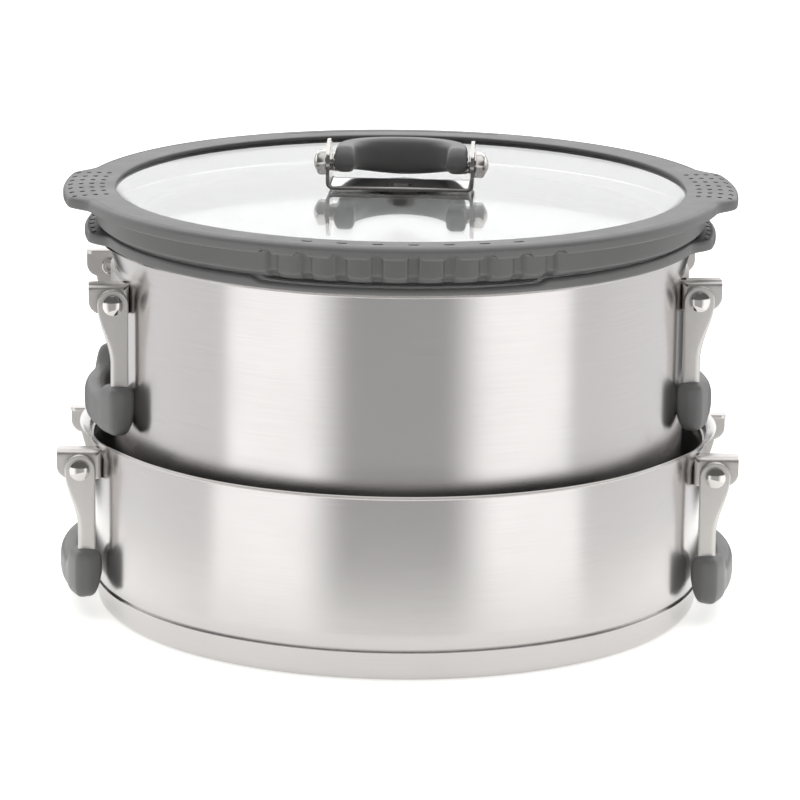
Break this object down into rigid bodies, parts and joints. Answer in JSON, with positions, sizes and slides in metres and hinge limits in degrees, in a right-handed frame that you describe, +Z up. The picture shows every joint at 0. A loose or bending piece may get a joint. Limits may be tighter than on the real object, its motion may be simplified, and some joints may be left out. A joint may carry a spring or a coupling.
{
  "type": "nesting pot set with lids",
  "caption": "Nesting stainless-steel pots, deep in shallow, with folding silicone-gripped side handles and stacked glass strainer lids with a folding handle.",
  "frame": {"origin": "on the table, on the axis of the pots, at the underside of the lower base", "axes": "+Z up, -Y the front that the picture shows, X through the side handles"},
  "size_m": [0.2894, 0.272, 0.1985],
  "materials": {
    "brushed_pot_steel": "satin stainless steel, brushed round the pot",
    "polished_fitting_steel": "polished stainless sheet and rivets",
    "spreader_aluminium": "bare pressed aluminium, hidden in the base",
    "tempered_glass": "clear flat tempered glass",
    "rim_silicone": "matt grey moulded silicone",
    "grip_silicone": "matt grey moulded silicone",
    "seal_rubber": "dark rubber seal"
  },
  "bodies": {
    "lower_pot": {"lower_pot_shell": "brushed_pot_steel", "lower_base_core": "spreader_aluminium", "lower_base_cap": "brushed_pot_steel", "lower_left_bracket": "polished_fitting_steel", "lower_left_rivets": "polished_fitting_steel", "lower_left_washers": "polished_fitting_steel", "lower_right_bracket": "polished_fitting_steel", "lower_right_rivets": "polished_fitting_steel", "lower_right_washers": "polished_fitting_steel"},
    "lower_left_handle": {"lower_left_bail": "polished_fitting_steel", "lower_left_grip": "grip_silicone"},
    "lower_right_handle": {"lower_right_bail": "polished_fitting_steel", "lower_right_grip": "grip_silicone"},
    "upper_pot": {"upper_pot_shell": "brushed_pot_steel", "upper_base_core": "spreader_aluminium", "upper_base_cap": "brushed_pot_steel", "upper_left_bracket": "polished_fitting_steel", "upper_left_rivets": "polished_fitting_steel", "upper_left_washers": "polished_fitting_steel", "upper_right_bracket": "polished_fitting_steel", "upper_right_rivets": "polished_fitting_steel", "upper_right_washers": "polished_fitting_steel"},
    "upper_left_handle": {"upper_left_bail": "polished_fitting_steel", "upper_left_grip": "grip_silicone"},
    "upper_right_handle": {"upper_right_bail": "polished_fitting_steel", "upper_right_grip": "grip_silicone"},
    "low_lid": {"low_lid_pane": "tempered_glass", "low_lid_rim": "rim_silicone"},
    "top_lid": {"top_lid_pane": "tempered_glass", "top_lid_rim": "rim_silicone", "lid_handle_bracket": "polished_fitting_steel", "lid_gasket": "seal_rubber", "lid_screw": "polished_fitting_steel", "lid_under_washer": "seal_rubber", "lid_under_nut": "polished_fitting_steel", "lid_pivot_bolts": "polished_fitting_steel", "lid_nut_washers": "polished_fitting_steel", "lid_cap_nuts": "polished_fitting_steel", "lid_wave_washers": "polished_fitting_steel"},
    "lid_handle": {"lid_bail": "polished_fitting_steel", "lid_grip": "grip_silicone"}
  },
  "joints": [
    {"name": "upper_pot_lift", "type": "slide", "parent": "lower_pot", "child": "upper_pot", "axis": [0, 0, 1], "range_m": [0, 0.1]},
    {"name": "low_lid_lift", "type": "slide", "parent": "upper_pot", "child": "low_lid", "axis": [0, 0, 1], "range_m": [0, 0.06]},
    {"name": "top_lid_lift", "type": "slide", "parent": "low_lid", "child": "top_lid", "axis": [0, 0, 1], "range_m": [0, 0.06]},
    {"name": "lid_handle_swing", "type": "hinge", "parent": "top_lid", "child": "lid_handle", "pos_m": [0, 0, 0.1885], "axis": [0.9986, -0.0523, 0], "range_deg": [0, 180]},
    {"name": "lower_left_handle_swing", "type": "hinge", "parent": "lower_pot", "child": "lower_left_handle", "pos_m": [-0.1331, 0, 0.0645], "axis": [0, 1, 0], "range_deg": [0, 90]},
    {"name": "lower_right_handle_swing", "type": "hinge", "parent": "lower_pot", "child": "lower_right_handle", "pos_m": [0.1331, 0, 0.0645], "axis": [0, -1, 0], "range_deg": [0, 90]},
    {"name": "upper_left_handle_swing", "type": "hinge", "parent": "upper_pot", "child": "upper_left_handle", "pos_m": [-0.12187, -0.01023, 0.1372], "axis": [-0.0837, 0.9965, 0], "range_deg": [0, 90]},
    {"name": "upper_right_handle_swing", "type": "hinge", "parent": "upper_pot", "child": "upper_right_handle", "pos_m": [0.12187, 0.01023, 0.1372], "axis": [0.0837, -0.9965, 0], "range_deg": [0, 90]}
  ]
}
